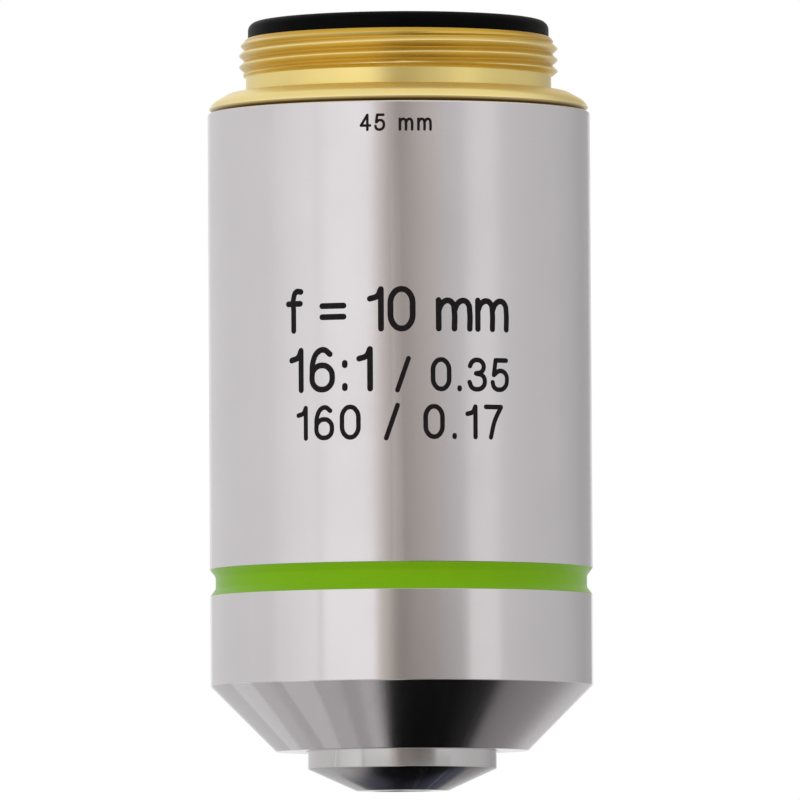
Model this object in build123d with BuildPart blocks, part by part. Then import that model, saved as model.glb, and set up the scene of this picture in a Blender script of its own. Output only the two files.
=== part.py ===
from build123d import *
from math import copysign, cos, radians, sin, sqrt, tan
import os

os.makedirs("parts", exist_ok=True)

# Microscope objective with a sprung nose, in millimetres.
# +Z runs up the optical axis to the mounting thread, and z = 0 is the shoulder that seats in the nosepiece.
# The body stands still. The lens tube, with its lenses and the nose, slides up inside the body when the
# nose meets a slide, and the return spring pushes it back down onto its stop.

# Mounting thread and shoulder
thread_radius = 10.12
thread_depth = 0.54
thread_length = 2.60
thread_lead_in = 0.60
neck_length = 0.88
shoulder_clearance = 0.08
shoulder_width = 0.50
shoulder_undercut = 0.15

# Sloping flange between the shoulder and the sleeve, with a rolled edge and an undercut lip
flange_slope = 29.0
flange_round = 1.00
flange_round_end = 20.6
flange_inset = 0.05
flange_lip_width = 0.30
flange_lip_height = 0.29

# Brass barrel: walls outwards from its two bores, and heights
neck_wall = 0.68
stop_width = 1.20
stop_depth = 12.00
spigot_wall = 2.10
spigot_length = 7.80
waist_wall = 2.30
collar_length = 2.50
clamp_gap = 0.31
front_thread_wall = 2.70
front_thread_engagement = 4.53
thread_edge = 0.30

# Sleeves and the colour ring
sleeve_wall = 0.95
sleeve_length = 28.59
sleeve_edge = 0.12
colour_ring_height = 1.66
groove_depth = 0.37
groove_wall_height = 0.46
front_straight = 5.65
cone_angle = 45.0
cone_land = 1.85
cone_corner_round = 0.35
cone_wall = 1.50
front_plate = 1.12

# Black ring screwed into the rear of the barrel
rear_ring_inset = 0.68
rear_ring_height = 1.06
rear_ring_round = 0.55
rear_stem_length = 3.58
rear_stem_wall = 2.65
rear_mouth = 0.80
spanner_slot_width = 1.60
spanner_slot_depth = 0.90
spanner_slot_reach = 2.00

# Return spring of flat wire, and the travel that it allows
stroke = 1.80
spring_turns = 6
spring_wire_width = 0.90
spring_wire_height = 0.60
spring_gap = 0.30

# Lens tube
tube_wall = 1.10
tube_flange_height = 1.50
tube_taper_start = 3.40
tube_taper_end = 1.20
tube_rear_edge = 0.20
rear_stop_gap = 0.10

# Guide screw, whose tip keeps the lens tube from turning
guide_screw_drop = 4.00
guide_screw_radius = 1.00
guide_screw_setback = 0.15
guide_tip_radius = 0.60
guide_tip_length = 0.95
guide_tip_gap = 0.10
guide_slot_depth = 0.70
guide_slot_end_gap = 0.20
screw_drive_width = 0.30
screw_drive_depth = 0.40

# Nose, the bright front cell that stands out of the cone
nose_radius = 5.92
nose_stand_out = 1.10
nose_length = 2.32
tip_height = 1.38
tip_radius = 2.86
tip_lip = 0.35
tip_lip_width = 0.85
front_bore_depth = 2.30
stem_wall = 0.55
stem_length = 1.70

# Cells, spacers and the aperture stop, in the order in which they are stacked
second_cell_radius = 4.70
second_cell_wall = 0.95
second_cell_height = 3.45
second_lip_height = 0.95
third_cell_seat = 3.50
third_cell_wall = 1.75
third_cell_height = 5.00
third_lip_height = 0.80
spacer_one_height = 1.00
fourth_cell_wall = 1.45
fourth_cell_height = 5.50
fourth_lip_height = 0.70
spacer_two_height = 4.60
stop_thickness = 0.40
stop_wall = 2.90
fifth_cell_wall = 1.85
fifth_cell_height = 7.20
fifth_lip_height = 1.40
spacer_three_height = 1.30
rear_cell_wall = 2.05
rear_cell_height = 4.50
rear_lip_height = 0.60
lock_ring_height = 1.60
lock_ring_wall = 1.60
spacer_wall = 1.20
lens_lip = 0.50
cell_edge = 0.15

# Lenses: thickness on the axis, and the rise of each surface from its edge to its middle.
# A surface that bulges outwards has a positive rise, and a hollow one a negative rise.
front_lens_radius = 2.60
front_lens_thickness, front_lens_front, front_lens_rear = 2.60, -0.38, 1.41
second_lens_thickness, second_lens_front, second_lens_rear = 2.20, -0.50, 1.40
third_crown_thickness, third_flint_thickness = 3.00, 1.20
third_lens_front, third_lens_joint, third_lens_rear = 0.71, 1.53, 0.51
fourth_flint_thickness, fourth_crown_thickness = 1.20, 3.20
fourth_lens_front, fourth_lens_joint, fourth_lens_rear = 0.42, -1.52, 0.92
fifth_crown_thickness, fifth_flint_thickness = 3.60, 1.40
fifth_lens_front, fifth_lens_joint, fifth_lens_rear = 1.35, 0.54, -1.72
rear_lens_thickness, rear_lens_front, rear_lens_rear = 3.20, -1.72, 1.36

# Clearances, all radial except those between faces
sleeve_fit = 0.05
thread_fit = 0.05
guide_fit = 0.05
flange_fit = 0.10
cell_fit = 0.05
lens_fit = 0.05
nose_gap = 0.13
face_gap = 0.02
cement_gap = 0.02

# Radii, from the mounting thread inwards to the stack of cells
neck_radius = thread_radius - thread_depth
spring_bore_radius = neck_radius - neck_wall
guide_bore_radius = spring_bore_radius - stop_width
tube_radius = guide_bore_radius - guide_fit
tube_bore_radius = tube_radius - tube_wall
stack_radius = tube_bore_radius - cell_fit
tube_flange_radius = spring_bore_radius - flange_fit
spring_mean_radius = spring_bore_radius - spring_gap - spring_wire_width / 2
tube_rear_radius = spring_mean_radius - spring_wire_width / 2 - spring_gap
rear_stem_radius = spring_bore_radius - thread_fit
rear_port_radius = rear_stem_radius - rear_stem_wall
rear_ring_radius = thread_radius - rear_ring_inset

# Radii, from the bores outwards to the outside of the body
spigot_radius = spring_bore_radius + spigot_wall
waist_radius = guide_bore_radius + waist_wall
front_thread_radius = guide_bore_radius + front_thread_wall
front_bore_radius = front_thread_radius + thread_fit
sleeve_bore_radius = spigot_radius + sleeve_fit
body_radius = sleeve_bore_radius + sleeve_wall
shoulder_inner_radius = thread_radius + shoulder_clearance
shoulder_outer_radius = shoulder_inner_radius + shoulder_width

# Radii of the nose and of the lenses in it
nose_hole_radius = nose_radius + nose_gap
cone_end_radius = nose_hole_radius + cone_land
second_bore_radius = second_cell_radius + cell_fit
stem_radius = second_bore_radius + stem_wall

# Rolled edge of the flange, an arc that meets the slope and ends at the lip
slope_angle = radians(flange_slope)
round_end_angle = radians(flange_round_end)
rim_centre_radius = body_radius - flange_inset - flange_round
slope_end_radius = rim_centre_radius + flange_round * sin(slope_angle)
slope_end_z = -(slope_end_radius - shoulder_outer_radius) * tan(slope_angle)
rim_centre_z = slope_end_z - flange_round * cos(slope_angle)
rim_end_radius = rim_centre_radius + flange_round * cos(round_end_angle)
rim_end_z = rim_centre_z + flange_round * sin(round_end_angle)

# Heights of the body, from the shoulder at z = 0
barrel_top_z = neck_length + thread_length
rear_top_z = barrel_top_z + rear_ring_height
rear_stem_z = barrel_top_z - rear_stem_length
sleeve_top_z = rim_end_z - flange_lip_height
sleeve_bottom_z = sleeve_top_z - sleeve_length
ring_bottom_z = sleeve_bottom_z - colour_ring_height
corner_z = ring_bottom_z - front_straight
cone_end_z = corner_z - (body_radius - cone_end_radius) / tan(radians(cone_angle))
spigot_bottom_z = sleeve_top_z - spigot_length
collar_bottom_z = sleeve_bottom_z + clamp_gap
collar_top_z = collar_bottom_z + collar_length
barrel_bottom_z = ring_bottom_z - front_thread_engagement
stop_z = -stop_depth

# Heights of the lens tube and its stack, which follow the place of the nose
nose_corner_z = cone_end_z - nose_stand_out
tip_z = nose_corner_z - tip_height
nose_shoulder_z = nose_corner_z + nose_length
stem_top_z = nose_shoulder_z + stem_length
stack_seat_z = nose_shoulder_z + third_cell_seat
flange_bottom_z = stop_z + face_gap
flange_top_z = flange_bottom_z + tube_flange_height
tube_rear_z = rear_stem_z - stroke - rear_stop_gap

# Brass barrel: thread, shoulder and flange at the top, then a spigot, a waist and a collar that carry
# the sleeve, and the thread that takes the front sleeve
with BuildPart() as mount_barrel:
    with BuildSketch(Plane.XZ):
        with BuildLine():
            Polyline(
                (shoulder_inner_radius, 0),
                (shoulder_inner_radius, -shoulder_undercut),
                (neck_radius, -shoulder_undercut),
                (neck_radius, neck_length),
                (thread_radius, neck_length),
                (thread_radius, barrel_top_z - thread_lead_in),
                (thread_radius - thread_lead_in, barrel_top_z),
                (spring_bore_radius, barrel_top_z),
                (spring_bore_radius, stop_z),
                (guide_bore_radius, stop_z),
                (guide_bore_radius, barrel_bottom_z),
                (front_thread_radius - thread_edge, barrel_bottom_z),
                (front_thread_radius, barrel_bottom_z + thread_edge),
                (front_thread_radius, collar_bottom_z),
                (spigot_radius, collar_bottom_z),
                (spigot_radius, collar_top_z),
                (waist_radius, collar_top_z),
                (waist_radius, spigot_bottom_z),
                (spigot_radius, spigot_bottom_z),
                (spigot_radius, sleeve_top_z),
            )
            rim = CenterArc(
                (rim_centre_radius, rim_centre_z),
                flange_round,
                90 - flange_slope,
                flange_round_end - (90 - flange_slope),
            )
            Line((shoulder_inner_radius, 0), (shoulder_outer_radius, 0))
            Line((shoulder_outer_radius, 0), rim @ 0)
            lip = Line(rim @ 1, (rim_end_radius - flange_lip_width, sleeve_top_z))
            Line(lip @ 1, (spigot_radius, sleeve_top_z))
        make_face()
    revolve(axis=Axis.Z)
    # Tapped hole for the guide screw, at the back
    guide_screw_z = stop_z - guide_screw_drop
    with BuildSketch(Plane(origin=(0, 0, guide_screw_z), x_dir=(1, 0, 0), z_dir=(0, 1, 0))):
        Circle(guide_screw_radius + thread_fit)
    extrude(amount=spigot_radius, mode=Mode.SUBTRACT)
mount_barrel.part.label = "mount_barrel"
export_step(mount_barrel.part, "parts/mount_barrel.step")

# Upper sleeve, a plain tube held between the flange and the colour ring
with BuildPart() as barrel_sleeve:
    with BuildSketch(Plane.XZ):
        with BuildLine():
            Polyline(
                (sleeve_bore_radius, sleeve_top_z),
                (body_radius - sleeve_edge, sleeve_top_z),
                (body_radius, sleeve_top_z - sleeve_edge),
                (body_radius, sleeve_bottom_z),
                (sleeve_bore_radius, sleeve_bottom_z),
                close=True,
            )
        make_face()
    revolve(axis=Axis.Z)
barrel_sleeve.part.label = "barrel_sleeve"
export_step(barrel_sleeve.part, "parts/barrel_sleeve.step")

# Colour ring, enamelled in the groove between the two sleeves
with BuildPart() as colour_ring:
    with BuildSketch(Plane.XZ):
        with BuildLine():
            Polyline(
                (front_bore_radius, sleeve_bottom_z),
                (body_radius, sleeve_bottom_z),
                (body_radius - groove_depth, sleeve_bottom_z - groove_wall_height),
                (body_radius - groove_depth, ring_bottom_z + groove_wall_height),
                (body_radius, ring_bottom_z),
                (front_bore_radius, ring_bottom_z),
                close=True,
            )
        make_face()
    revolve(axis=Axis.Z)
colour_ring.part.label = "colour_ring"
export_step(colour_ring.part, "parts/colour_ring.step")

# Front sleeve: a short cylinder that runs into a cone with a round hole for the nose.
# Its cavity is a bore and a cone parallel to the outside, one wall further in.
cone_slope = tan(radians(cone_angle))
inner_cone_radius = body_radius - cone_wall / cos(radians(cone_angle))
cavity_floor_z = cone_end_z + front_plate
bore_end_z = corner_z - (inner_cone_radius - front_bore_radius) / cone_slope
cavity_end_radius = inner_cone_radius - (corner_z - cavity_floor_z) * cone_slope
with BuildPart() as front_sleeve:
    with BuildSketch(Plane.XZ):
        with BuildLine():
            Polyline(
                (front_bore_radius, ring_bottom_z),
                (body_radius, ring_bottom_z),
                (body_radius, corner_z),
                (cone_end_radius, cone_end_z),
                (nose_hole_radius, cone_end_z),
                (nose_hole_radius, cavity_floor_z),
                (cavity_end_radius, cavity_floor_z),
                (front_bore_radius, bore_end_z),
                close=True,
            )
        make_face()
    revolve(axis=Axis.Z)
    corner = front_sleeve.edges().filter_by(GeomType.CIRCLE).filter_by(
        lambda edge: abs(edge.radius - body_radius) < face_gap and abs(edge.center().Z - corner_z) < face_gap
    )
    fillet(corner, cone_corner_round)
front_sleeve.part.label = "front_sleeve"
export_step(front_sleeve.part, "parts/front_sleeve.step")

# Black rear ring: its stem screws into the barrel and holds the spring, and light leaves through its port
with BuildPart() as rear_ring:
    with BuildSketch(Plane.XZ) as rear_ring_profile:
        with BuildLine():
            Polyline(
                (rear_port_radius, rear_stem_z),
                (rear_stem_radius, rear_stem_z),
                (rear_stem_radius, barrel_top_z),
                (rear_ring_radius, barrel_top_z),
                (rear_ring_radius, rear_top_z),
                (rear_port_radius + rear_mouth, rear_top_z),
                (rear_port_radius, rear_top_z - rear_mouth),
                close=True,
            )
        make_face()
        fillet(rear_ring_profile.vertices().group_by(Axis.X)[-1].sort_by(Axis.Y)[-1], rear_ring_round)
    revolve(axis=Axis.Z)
    # Two slots for a pin spanner, open to the port and closed towards the rim
    with BuildSketch(Plane.XY.offset(rear_top_z)):
        Rectangle(2 * (rear_port_radius + spanner_slot_reach), spanner_slot_width)
    extrude(amount=-spanner_slot_depth, mode=Mode.SUBTRACT)
rear_ring.part.label = "rear_ring"
export_step(rear_ring.part, "parts/rear_ring.step")

# Return spring, a helix of flat wire with its ends ground flat
spring_bottom_z = flange_top_z + face_gap
spring_top_z = rear_stem_z - face_gap
spring_pitch = (spring_top_z - spring_bottom_z) / spring_turns
with BuildPart() as return_spring:
    with BuildLine():
        coil = Helix(
            pitch=spring_pitch,
            height=spring_pitch * (spring_turns + 1),
            radius=spring_mean_radius,
            center=(0, 0, spring_bottom_z - spring_pitch / 2),
        )
    with BuildSketch(Plane(origin=coil @ 0, x_dir=(1, 0, 0), z_dir=coil % 0)):
        Rectangle(spring_wire_width, spring_wire_height)
    sweep(path=coil, is_frenet=True)
    split(bisect_by=Plane.XY.offset(spring_bottom_z), keep=Keep.TOP)
    split(bisect_by=Plane.XY.offset(spring_top_z), keep=Keep.BOTTOM)
return_spring.part.label = "return_spring"
export_step(return_spring.part, "parts/return_spring.step")

# Guide screw: a slotted set screw whose plain tip stands in the lens tube's slot
slot_floor_radius = tube_radius - guide_slot_depth
guide_tip_end = slot_floor_radius + guide_tip_gap
guide_body_start = guide_tip_end + guide_tip_length
guide_body_end = waist_radius - guide_screw_setback
guide_plane = Plane(origin=(0, 0, guide_screw_z), x_dir=(1, 0, 0), z_dir=(0, 1, 0))
with BuildPart() as guide_screw:
    with BuildSketch(guide_plane.offset(guide_tip_end)):
        Circle(guide_tip_radius)
    extrude(amount=guide_tip_length)
    with BuildSketch(guide_plane.offset(guide_body_start)):
        Circle(guide_screw_radius)
    extrude(amount=guide_body_end - guide_body_start)
    with BuildSketch(guide_plane.offset(guide_body_end)):
        Rectangle(screw_drive_width, 2 * guide_screw_radius)
    extrude(amount=-screw_drive_depth, mode=Mode.SUBTRACT)
guide_screw.part.label = "guide_screw"
export_step(guide_screw.part, "parts/guide_screw.step")

# Lens tube: its flange rests on the barrel's stop, its cylinder slides in the guide bore, and its front end
# tapers to a socket for the nose. The guide slot is as long as the travel.
tube_taper_top_z = nose_shoulder_z + tube_taper_start
tube_taper_bottom_z = nose_shoulder_z + tube_taper_end
guide_slot_top_z = guide_screw_z + guide_tip_radius + guide_slot_end_gap
guide_slot_bottom_z = guide_screw_z - stroke - guide_tip_radius - guide_slot_end_gap
with BuildPart() as lens_tube:
    with BuildSketch(Plane.XZ):
        with BuildLine():
            Polyline(
                (stem_radius + cell_fit, nose_shoulder_z),
                (nose_radius, nose_shoulder_z),
                (nose_radius, tube_taper_bottom_z),
                (tube_radius, tube_taper_top_z),
                (tube_radius, flange_bottom_z),
                (tube_flange_radius, flange_bottom_z),
                (tube_flange_radius, flange_top_z),
                (tube_rear_radius, flange_top_z),
                (tube_rear_radius, tube_rear_z - tube_rear_edge),
                (tube_rear_radius - tube_rear_edge, tube_rear_z),
                (tube_bore_radius, tube_rear_z),
                (tube_bore_radius, stack_seat_z),
                (second_bore_radius, stack_seat_z),
                (second_bore_radius, stem_top_z + face_gap),
                (stem_radius + cell_fit, stem_top_z + face_gap),
                close=True,
            )
        make_face()
    revolve(axis=Axis.Z)
    guide_slot_middle_z = (guide_slot_top_z + guide_slot_bottom_z) / 2
    slot_plane = Plane(
        origin=(0, slot_floor_radius, guide_slot_middle_z), x_dir=(1, 0, 0), z_dir=(0, 1, 0)
    )
    with BuildSketch(slot_plane):
        SlotOverall(guide_slot_top_z - guide_slot_bottom_z, 2 * (guide_tip_radius + guide_fit), rotation=90)
    extrude(amount=2 * guide_slot_depth, mode=Mode.SUBTRACT)
lens_tube.part.label = "lens_tube"
export_step(lens_tube.part, "parts/lens_tube.step")

# Nose: a stem that fits the lens tube, a bright cylinder and cone outside, and a lip for the front lens
front_seat_z = tip_z + tip_lip
second_seat_z = front_seat_z + front_bore_depth
lens_bore_radius = front_lens_radius + lens_fit
tip_aperture_radius = lens_bore_radius - tip_lip_width
with BuildPart() as front_cell:
    with BuildSketch(Plane.XZ):
        with BuildLine():
            Polyline(
                (tip_aperture_radius, tip_z),
                (tip_radius, tip_z),
                (nose_radius, nose_corner_z),
                (nose_radius, nose_shoulder_z - face_gap),
                (stem_radius, nose_shoulder_z - face_gap),
                (stem_radius, stem_top_z),
                (second_bore_radius, stem_top_z),
                (second_bore_radius, second_seat_z),
                (lens_bore_radius, second_seat_z),
                (lens_bore_radius, front_seat_z),
                (tip_aperture_radius, front_seat_z),
                close=True,
            )
        make_face()
    revolve(axis=Axis.Z)
front_cell.part.label = "front_cell"
export_step(front_cell.part, "parts/front_cell.step")


def curve_radius(rise, lens_radius):
    """Radius of the sphere that rises this far over a lens of this radius."""
    return (lens_radius**2 + rise**2) / (2 * abs(rise))


def drop(rise, lens_radius, radius):
    """How far a surface falls back from its middle at this radius, negative where it is hollow."""
    curve = curve_radius(rise, lens_radius)
    return copysign(curve - sqrt(curve**2 - radius**2), rise)


def make_cell(label, bottom_z, height, outer_radius, lens_radius, lip_height):
    """A turned cell: a tube whose bore holds a lens on a lip at its front end."""
    bore_radius = lens_radius + lens_fit
    with BuildPart() as cell:
        with BuildSketch(Plane.XZ):
            with BuildLine():
                Polyline(
                    (lens_radius - lens_lip, bottom_z),
                    (outer_radius - cell_edge, bottom_z),
                    (outer_radius, bottom_z + cell_edge),
                    (outer_radius, bottom_z + height),
                    (bore_radius, bottom_z + height),
                    (bore_radius, bottom_z + lip_height),
                    (lens_radius - lens_lip, bottom_z + lip_height),
                    close=True,
                )
            make_face()
        revolve(axis=Axis.Z)
    cell.part.label = label
    export_step(cell.part, f"parts/{label}.step")


def make_ring(label, bottom_z, height, wall, slot_depth=0.0):
    """A plain ring of the stack: a spacer, the aperture stop or, with slots, the ring that locks it."""
    with BuildPart() as ring:
        with BuildSketch(Plane.XY.offset(bottom_z)):
            Circle(stack_radius)
            Circle(stack_radius - wall, mode=Mode.SUBTRACT)
        extrude(amount=height)
        if slot_depth > 0:
            with BuildSketch(Plane.XY.offset(bottom_z + height)):
                Rectangle(2 * tube_radius, spanner_slot_width)
            extrude(amount=-slot_depth, mode=Mode.SUBTRACT)
    ring.part.label = label
    export_step(ring.part, f"parts/{label}.step")


def make_lens(label, radius, middle_z, thickness, front_rise, rear_rise):
    """A lens whose front surface crosses the axis at middle_z."""
    rear_middle_z = middle_z + thickness
    with BuildPart() as lens:
        with BuildSketch(Plane.XZ):
            with BuildLine():
                front = ThreePointArc(
                    (0, middle_z),
                    (radius / 2, middle_z + drop(front_rise, radius, radius / 2)),
                    (radius, middle_z + front_rise),
                )
                rear = ThreePointArc(
                    (0, rear_middle_z),
                    (radius / 2, rear_middle_z - drop(rear_rise, radius, radius / 2)),
                    (radius, rear_middle_z - rear_rise),
                )
                Line(front @ 1, rear @ 1)
                Line(front @ 0, rear @ 0)
            make_face()
        revolve(axis=Axis.Z)
    lens.part.label = label
    export_step(lens.part, f"parts/{label}.step")


def lens_middle_z(lip_top_z, radius, front_rise):
    """Place of a front surface: a bulge rests on the lip's inner edge, a hollow on its own rim."""
    contact_radius = radius - lens_lip if front_rise > 0 else radius
    return lip_top_z + face_gap - drop(front_rise, radius, contact_radius)


def make_pair(front_label, rear_label, radius, lip_top_z, thicknesses, rises):
    """Two lenses cemented at a common surface, the front one on its cell's lip."""
    front_thickness, rear_thickness = thicknesses
    front_rise, joint_rise, rear_rise = rises
    front_z = lens_middle_z(lip_top_z, radius, front_rise)
    rear_z = front_z + front_thickness + cement_gap
    make_lens(front_label, radius, front_z, front_thickness, front_rise, joint_rise)
    make_lens(rear_label, radius, rear_z, rear_thickness, -joint_rise, rear_rise)


# Front lens, behind the lip of the nose
make_lens(
    "front_lens",
    front_lens_radius,
    lens_middle_z(front_seat_z, front_lens_radius, front_lens_front),
    front_lens_thickness,
    front_lens_front,
    front_lens_rear,
)

# Second cell and its lens, pushed into the nose from behind
second_lens_radius = second_cell_radius - second_cell_wall - lens_fit
second_lip_z = second_seat_z + second_lip_height
make_cell(
    "second_cell",
    second_seat_z,
    second_cell_height,
    second_cell_radius,
    second_lens_radius,
    second_lip_height,
)
make_lens(
    "second_lens",
    second_lens_radius,
    lens_middle_z(second_lip_z, second_lens_radius, second_lens_front),
    second_lens_thickness,
    second_lens_front,
    second_lens_rear,
)

# Third cell, with a cemented pair
third_lens_radius = stack_radius - third_cell_wall - lens_fit
third_cell_z = stack_seat_z
make_cell(
    "third_cell", third_cell_z, third_cell_height, stack_radius, third_lens_radius, third_lip_height
)
make_pair(
    "third_crown",
    "third_flint",
    third_lens_radius,
    third_cell_z + third_lip_height,
    (third_crown_thickness, third_flint_thickness),
    (third_lens_front, third_lens_joint, third_lens_rear),
)

# First spacer
spacer_one_z = third_cell_z + third_cell_height
make_ring("spacer_one", spacer_one_z, spacer_one_height, spacer_wall)

# Fourth cell, with a cemented pair
fourth_lens_radius = stack_radius - fourth_cell_wall - lens_fit
fourth_cell_z = spacer_one_z + spacer_one_height
make_cell(
    "fourth_cell", fourth_cell_z, fourth_cell_height, stack_radius, fourth_lens_radius, fourth_lip_height
)
make_pair(
    "fourth_flint",
    "fourth_crown",
    fourth_lens_radius,
    fourth_cell_z + fourth_lip_height,
    (fourth_flint_thickness, fourth_crown_thickness),
    (fourth_lens_front, fourth_lens_joint, fourth_lens_rear),
)

# Second spacer, then the aperture stop
spacer_two_z = fourth_cell_z + fourth_cell_height
make_ring("spacer_two", spacer_two_z, spacer_two_height, spacer_wall)
aperture_stop_z = spacer_two_z + spacer_two_height
make_ring("aperture_stop", aperture_stop_z, stop_thickness, stop_wall)

# Fifth cell, with a thick cemented pair
fifth_lens_radius = stack_radius - fifth_cell_wall - lens_fit
fifth_cell_z = aperture_stop_z + stop_thickness
make_cell(
    "fifth_cell", fifth_cell_z, fifth_cell_height, stack_radius, fifth_lens_radius, fifth_lip_height
)
make_pair(
    "fifth_crown",
    "fifth_flint",
    fifth_lens_radius,
    fifth_cell_z + fifth_lip_height,
    (fifth_crown_thickness, fifth_flint_thickness),
    (fifth_lens_front, fifth_lens_joint, fifth_lens_rear),
)

# Third spacer
spacer_three_z = fifth_cell_z + fifth_cell_height
make_ring("spacer_three", spacer_three_z, spacer_three_height, spacer_wall)

# Rear cell and its lens
rear_lens_radius = stack_radius - rear_cell_wall - lens_fit
rear_cell_z = spacer_three_z + spacer_three_height
rear_lip_z = rear_cell_z + rear_lip_height
make_cell("rear_cell", rear_cell_z, rear_cell_height, stack_radius, rear_lens_radius, rear_lip_height)
make_lens(
    "rear_lens",
    rear_lens_radius,
    lens_middle_z(rear_lip_z, rear_lens_radius, rear_lens_front),
    rear_lens_thickness,
    rear_lens_front,
    rear_lens_rear,
)

# Slotted ring that locks the whole stack in the lens tube
lock_ring_z = rear_cell_z + rear_cell_height
make_ring("lock_ring", lock_ring_z, lock_ring_height, lock_ring_wall, spanner_slot_depth)
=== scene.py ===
from math import cos, hypot, pi, radians, sin, tan

import bmesh
import bpy
from mathutils import Matrix, Vector


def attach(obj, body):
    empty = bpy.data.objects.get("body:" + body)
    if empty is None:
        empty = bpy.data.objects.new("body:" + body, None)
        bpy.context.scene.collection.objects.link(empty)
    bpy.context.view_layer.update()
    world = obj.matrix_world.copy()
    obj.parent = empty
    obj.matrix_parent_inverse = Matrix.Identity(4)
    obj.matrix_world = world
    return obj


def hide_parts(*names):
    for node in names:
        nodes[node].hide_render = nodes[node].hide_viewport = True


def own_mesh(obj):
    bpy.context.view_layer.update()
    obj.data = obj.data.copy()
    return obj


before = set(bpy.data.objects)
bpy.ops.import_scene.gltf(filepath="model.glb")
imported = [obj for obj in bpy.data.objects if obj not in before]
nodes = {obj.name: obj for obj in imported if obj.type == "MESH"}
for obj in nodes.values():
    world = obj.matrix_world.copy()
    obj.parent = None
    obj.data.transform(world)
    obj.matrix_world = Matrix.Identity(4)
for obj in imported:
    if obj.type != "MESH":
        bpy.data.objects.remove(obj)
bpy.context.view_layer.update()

# Microscope objective. Its lengths are in millimetres, and MM turns them into Blender's metres.
MM = 0.001
AXIS = (0, 0, 1)
ORIGIN = (0, 0, 0)

# Radii of the turned parts
LEAD_IN_RADIUS = 9.52
THREAD_ROOT = 9.67
THREAD_CREST = 10.00
NECK_RADIUS = 9.58
SHOULDER_RADIUS = 10.20
SPRING_BORE = 8.90
GUIDE_BORE = 7.70
SPIGOT_RADIUS = 11.00
WAIST_RADIUS = 10.00
FRONT_THREAD_RADIUS = 10.40
FRONT_THREAD_END_RADIUS = 10.10
FRONT_BORE = 10.45
SLEEVE_BORE = 11.05
BODY_RADIUS = 12.00
GROOVE_RADIUS = 11.63
CONE_BORE = 6.90
CONE_END_RADIUS = 7.90
NOSE_HOLE = 6.05
NOSE_RADIUS = 5.92
STEM_RADIUS = 5.30
SECOND_CELL_BORE = 4.75
TIP_RADIUS = 2.86
FRONT_LENS_BORE = 2.65
FRONT_OPENING = 1.80

# The sleeves' surface lies this far inside the body's radius, and the colour ring's edge further in
SKIN = 0.008
SKIN_RADIUS = BODY_RADIUS - SKIN
RING_STEP = 0.02

# Heights, measured from the shoulder that seats in the nosepiece
BARREL_TOP = 3.48
LEAD_IN_END = 3.33
NECK_TOP = 0.88
UNDERCUT_Z = -0.15
SLEEVE_TOP = -1.22
SPIGOT_END = -9.02
STOP_Z = -12.00
COLLAR_TOP = -27.00
COLLAR_BOTTOM = -29.50
SLEEVE_BOTTOM = -29.81
RING_BOTTOM = -31.47
FRONT_THREAD_END = -35.70
BARREL_END = -36.00
FRONT_BORE_END = -36.55
CONE_TOP = -37.12
STEM_TOP = -38.30
NOSE_SHOULDER = -40.00
SECOND_CELL_SEAT = -41.05
CONE_END = -41.22
NOSE_CORNER = -42.32
FRONT_LIP_TOP = -43.35
TIP = -43.70

# Heights of small steps, and the gap between two faces
GROOVE_WALL = 0.46
FRONT_PLATE = 1.12
FACE_GAP = 0.02

# Widths of the rounded edges
SHOULDER_EDGE = 0.03
FINE_EDGE = 0.04
CORNER_EDGE = 0.05
SLOPE_EDGE = 0.06
GROOVE_EDGE = 0.10
SLEEVE_EDGE = 0.12

# Steps round a full turn
ROUND_STEPS = 256
THREAD_STEPS = 144
SPRING_STEPS = 96


# Shapes

def piece_from(form, name, sharp_from=35):
    """Turns a finished bmesh into an object whose edges are sharp above this angle in degrees."""
    bmesh.ops.remove_doubles(form, verts=form.verts[:], dist=1e-8)
    bmesh.ops.recalc_face_normals(form, faces=form.faces[:])
    for face in form.faces:
        face.smooth = True
    for edge in form.edges:
        if len(edge.link_faces) == 2 and edge.calc_face_angle(0) > radians(sharp_from):
            edge.smooth = False
    mesh = bpy.data.meshes.new(name)
    form.to_mesh(mesh)
    form.free()
    piece = bpy.data.objects.new(name, mesh)
    bpy.context.scene.collection.objects.link(piece)
    return piece


def even_normals(piece):
    """Lets a wide wall keep its own normals beside a narrow rounding."""
    weighted = piece.modifiers.new("even_normals", "WEIGHTED_NORMAL")
    weighted.keep_sharp = True
    weighted.weight = 90


def turned_form(outline, roundings=()):
    """Spins a closed outline of (radius, height) points round the axis, then rounds some of its corners."""
    form = bmesh.new()
    corners = [form.verts.new((radius * MM, 0, height * MM)) for radius, height in outline]
    sides = [form.edges.new((corners[i - 1], corners[i])) for i in range(len(corners))]
    bmesh.ops.spin(
        form, geom=corners + sides, axis=AXIS, cent=ORIGIN, angle=2 * pi, steps=ROUND_STEPS, use_merge=True
    )
    near = 1e-6
    for (radius, height), width in roundings:
        rim = [
            edge for edge in form.edges
            if all(
                abs(hypot(v.co.x, v.co.y) - radius * MM) < near and abs(v.co.z - height * MM) < near
                for v in edge.verts
            )
        ]
        bmesh.ops.bevel(
            form, geom=rim, offset=width * MM, segments=3, profile=0.5, affect="EDGES", material=-1
        )
    return form


def turned(name, outline, roundings=()):
    """A piece turned to a closed outline, with normals that stay even beside its rounded corners."""
    piece = piece_from(turned_form(outline, roundings), name)
    even_normals(piece)
    return piece


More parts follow.
